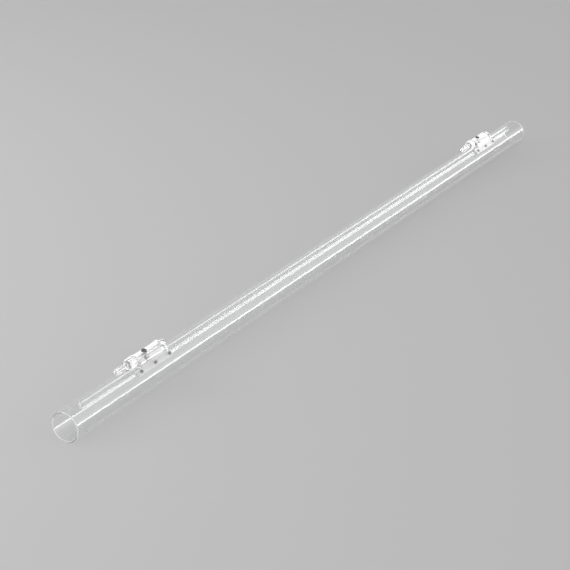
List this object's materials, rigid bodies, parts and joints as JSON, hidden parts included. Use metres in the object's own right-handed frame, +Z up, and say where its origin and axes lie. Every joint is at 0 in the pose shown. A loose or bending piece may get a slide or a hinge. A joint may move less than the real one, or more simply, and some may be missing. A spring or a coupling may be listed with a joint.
{
  "type": "liebig condenser",
  "caption": "Long clear glass condenser: a wide open tube with a thin coolant tube inside it, fed through two clear saddle connectors with hose barbs, nuts and valve screws.",
  "frame": {"origin": "on the resting surface, midway along the outer tube", "axes": "+X along the tube, from the end that the hose barbs point to towards the other; +Z up, from the resting line to the connectors"},
  "size_m": [1.03, 0.032, 0.0448],
  "materials": {
    "glass": "polished clear borosilicate",
    "clear_polycarbonate": "clear moulded plastic",
    "clear_silicone": "translucent satin rubber",
    "dark_seal": "matte rubber",
    "dark_screw": "gloss",
    "steel": "satin"
  },
  "bodies": {
    "condenser": {"outer_tube": "glass", "inner_tube": "glass", "inlet_stem": "glass", "inlet_bond_pad": "clear_silicone", "inlet_saddle_base": "clear_polycarbonate", "inlet_cover_gasket": "clear_silicone", "inlet_cover": "clear_polycarbonate", "inlet_cover_screws": "steel", "inlet_stem_bush": "dark_seal", "inlet_stem_o_ring": "dark_seal", "inlet_barb_o_ring": "dark_seal", "inlet_end_plug": "clear_polycarbonate", "inlet_end_plug_o_ring": "dark_seal", "outlet_stem": "glass", "outlet_bond_pad": "clear_silicone", "outlet_saddle_base": "clear_polycarbonate", "outlet_cover_gasket": "clear_silicone", "outlet_cover": "clear_polycarbonate", "outlet_cover_screws": "steel", "outlet_stem_bush": "dark_seal", "outlet_stem_o_ring": "dark_seal", "outlet_barb_o_ring": "dark_seal", "outlet_end_plug": "clear_polycarbonate", "outlet_end_plug_o_ring": "dark_seal"},
    "inlet_barb": {"inlet_hose_barb": "clear_polycarbonate"},
    "inlet_washer": {"inlet_thrust_washer": "dark_seal"},
    "inlet_nut": {"inlet_hose_nut": "clear_polycarbonate"},
    "inlet_valve_ring": {"inlet_valve_o_ring": "dark_seal"},
    "inlet_valve": {"inlet_valve_screw": "dark_screw"},
    "outlet_barb": {"outlet_hose_barb": "clear_polycarbonate"},
    "outlet_washer": {"outlet_thrust_washer": "dark_seal"},
    "outlet_nut": {"outlet_hose_nut": "clear_polycarbonate"},
    "outlet_valve_ring": {"outlet_valve_o_ring": "dark_seal"},
    "outlet_valve": {"outlet_valve_screw": "dark_screw"}
  },
  "joints": [
    {"name": "inlet_barb_swivel", "type": "hinge", "parent": "condenser", "child": "inlet_barb", "pos_m": [-0.414, 0, 0.0386], "axis": [-1, 0, 0], "continuous": true},
    {"name": "inlet_nut_travel", "type": "slide", "parent": "condenser", "child": "inlet_washer", "axis": [-1, 0, 0], "range_m": [0, 0.006]},
    {"name": "inlet_nut_turn", "type": "hinge", "parent": "inlet_washer", "child": "inlet_nut", "pos_m": [-0.412, 0, 0.0386], "axis": [-1, 0, 0], "range_deg": [0, 1440]},
    {"name": "inlet_valve_lift", "type": "slide", "parent": "condenser", "child": "inlet_valve_ring", "axis": [0, 0, 1], "range_m": [0, 0.0024]},
    {"name": "inlet_valve_turn", "type": "hinge", "parent": "inlet_valve_ring", "child": "inlet_valve", "pos_m": [-0.388, 0, 0.042], "axis": [0, 0, 1], "range_deg": [0, 1080]},
    {"name": "outlet_barb_swivel", "type": "hinge", "parent": "condenser", "child": "outlet_barb", "pos_m": [0.362, 0, 0.0386], "axis": [-1, 0, 0], "continuous": true},
    {"name": "outlet_nut_travel", "type": "slide", "parent": "condenser", "child": "outlet_washer", "axis": [-1, 0, 0], "range_m": [0, 0.006]},
    {"name": "outlet_nut_turn", "type": "hinge", "parent": "outlet_washer", "child": "outlet_nut", "pos_m": [0.364, 0, 0.0386], "axis": [-1, 0, 0], "range_deg": [0, 1440]},
    {"name": "outlet_valve_lift", "type": "slide", "parent": "condenser", "child": "outlet_valve_ring", "axis": [0, 0, 1], "range_m": [0, 0.0024]},
    {"name": "outlet_valve_turn", "type": "hinge", "parent": "outlet_valve_ring", "child": "outlet_valve", "pos_m": [0.388, 0, 0.042], "axis": [0, 0, 1], "range_deg": [0, 1080]}
  ],
  "couplings": [
    {"joint": "inlet_nut_turn", "follows": "inlet_nut_travel", "rad_per_m": 4188.8},
    {"joint": "inlet_valve_turn", "follows": "inlet_valve_lift", "rad_per_m": 7854},
    {"joint": "outlet_nut_turn", "follows": "outlet_nut_travel", "rad_per_m": 4188.8},
    {"joint": "outlet_valve_turn", "follows": "outlet_valve_lift", "rad_per_m": 7854}
  ]
}
